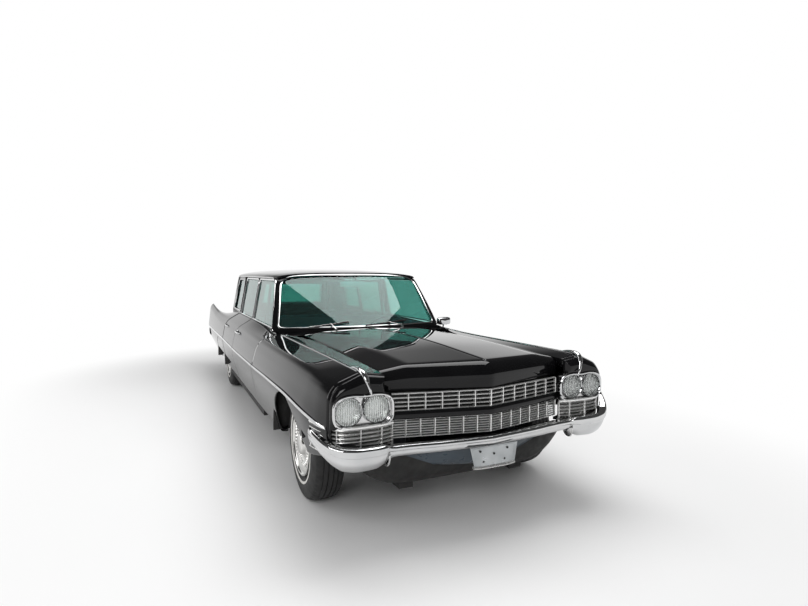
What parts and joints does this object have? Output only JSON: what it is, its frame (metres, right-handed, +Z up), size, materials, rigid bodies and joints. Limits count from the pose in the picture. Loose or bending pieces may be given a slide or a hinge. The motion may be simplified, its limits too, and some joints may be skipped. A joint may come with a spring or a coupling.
{
  "type": "limousine car",
  "caption": "Long black formal limousine with low fins, front-hinged doors, opening hood and trunk lid, steered front wheels, and a cabin divided behind the front seat.",
  "frame": {"origin": "on the ground, at the middle of the car's overall length and width", "axes": "+Z up; the car faces -Y, so +Y is along its length towards the tail; +X is the car's own left, the driver's side"},
  "size_m": [2.024, 6.193, 1.5007],
  "materials": {
    "black_paint": "gloss",
    "bright_chrome": "polished",
    "tinted_glass": "polished",
    "lamp_glass": "polished",
    "red_lens": "gloss",
    "tyre_rubber": "matte",
    "chassis_paint": "satin",
    "bare_steel": "satin",
    "engine_iron": "satin",
    "dark_trim": "matte",
    "blue_cloth": "woven"
  },
  "bodies": {
    "root": {"windshield": "tinted_glass", "cabin_glass": "tinted_glass", "headlamps": "lamp_glass", "tail_lamps": "red_lens", "front_bumper": "bright_chrome", "rear_bumper": "bright_chrome", "grille": "bright_chrome", "lamp_bezels": "bright_chrome", "chassis_frame": "chassis_paint", "floor_pan": "chassis_paint", "front_suspension": "chassis_paint", "rear_axle": "chassis_paint", "fuel_tank": "chassis_paint", "exhaust": "chassis_paint", "engine_block": "engine_iron", "dashboard": "dark_trim", "steering_wheel": "dark_trim", "division": "dark_trim", "front_seat": "blue_cloth", "rear_seat": "blue_cloth", "front_fenders": "black_paint", "rear_quarters": "black_paint", "rear_skirts": "black_paint", "tail_panel": "black_paint", "cowl": "black_paint", "roof": "black_paint", "centre_pillars": "black_paint"},
    "front_door_left": {"front_door_left": "black_paint", "front_door_glass_left": "tinted_glass", "door_mirror": "bright_chrome"},
    "front_door_right": {"front_door_right": "black_paint", "front_door_glass_right": "tinted_glass"},
    "rear_door_left": {"rear_door_left": "black_paint", "rear_door_glass_left": "tinted_glass"},
    "rear_door_right": {"rear_door_right": "black_paint", "rear_door_glass_right": "tinted_glass"},
    "hood": {"hood": "black_paint"},
    "trunk_lid": {"trunk_lid": "black_paint"},
    "knuckle_left": {"knuckle_left": "chassis_paint"},
    "knuckle_right": {"knuckle_right": "chassis_paint"},
    "front_wheel_left": {"wheel_front_left": "bare_steel", "tyre_front_left": "tyre_rubber"},
    "front_wheel_right": {"wheel_front_right": "bare_steel", "tyre_front_right": "tyre_rubber"},
    "rear_wheel_left": {"wheel_rear_left": "bare_steel", "tyre_rear_left": "tyre_rubber"},
    "rear_wheel_right": {"wheel_rear_right": "bare_steel", "tyre_rear_right": "tyre_rubber"}
  },
  "joints": [
    {"name": "steer_left", "type": "hinge", "parent": "root", "child": "knuckle_left", "pos_m": [0.7, -2.19, 0.359], "axis": [0, 0, 1], "range_deg": [-33, 33]},
    {"name": "steer_right", "type": "hinge", "parent": "root", "child": "knuckle_right", "pos_m": [-0.7, -2.19, 0.359], "axis": [0, 0, 1], "range_deg": [-33, 33]},
    {"name": "spin_front_left", "type": "hinge", "parent": "knuckle_left", "child": "front_wheel_left", "pos_m": [0.7745, -2.19, 0.359], "axis": [1, 0, 0], "continuous": true},
    {"name": "spin_front_right", "type": "hinge", "parent": "knuckle_right", "child": "front_wheel_right", "pos_m": [-0.7745, -2.19, 0.359], "axis": [1, 0, 0], "continuous": true},
    {"name": "spin_rear_left", "type": "hinge", "parent": "root", "child": "rear_wheel_left", "pos_m": [0.7745, 1.615, 0.359], "axis": [1, 0, 0], "continuous": true},
    {"name": "spin_rear_right", "type": "hinge", "parent": "root", "child": "rear_wheel_right", "pos_m": [-0.7745, 1.615, 0.359], "axis": [1, 0, 0], "continuous": true},
    {"name": "front_door_left_hinge", "type": "hinge", "parent": "root", "child": "front_door_left", "pos_m": [0.994, -0.97, 0.65], "axis": [0, 0, -1], "range_deg": [0, 65]},
    {"name": "front_door_right_hinge", "type": "hinge", "parent": "root", "child": "front_door_right", "pos_m": [-0.994, -0.97, 0.65], "axis": [0, 0, 1], "range_deg": [0, 65]},
    {"name": "rear_door_left_hinge", "type": "hinge", "parent": "root", "child": "rear_door_left", "pos_m": [0.996, 0.288, 0.65], "axis": [0, 0, -1], "range_deg": [0, 65]},
    {"name": "rear_door_right_hinge", "type": "hinge", "parent": "root", "child": "rear_door_right", "pos_m": [-0.996, 0.288, 0.65], "axis": [0, 0, 1], "range_deg": [0, 65]},
    {"name": "hood_hinge", "type": "hinge", "parent": "root", "child": "hood", "pos_m": [0, -1.173, 0.98], "axis": [-1, 0, 0], "range_deg": [0, 50]},
    {"name": "trunk_hinge", "type": "hinge", "parent": "root", "child": "trunk_lid", "pos_m": [0, 2.057, 0.99], "axis": [1, 0, 0], "range_deg": [0, 75]}
  ],
  "couplings": [
    {"joint": "steer_right", "follows": "steer_left", "ratio": 1}
  ]
}
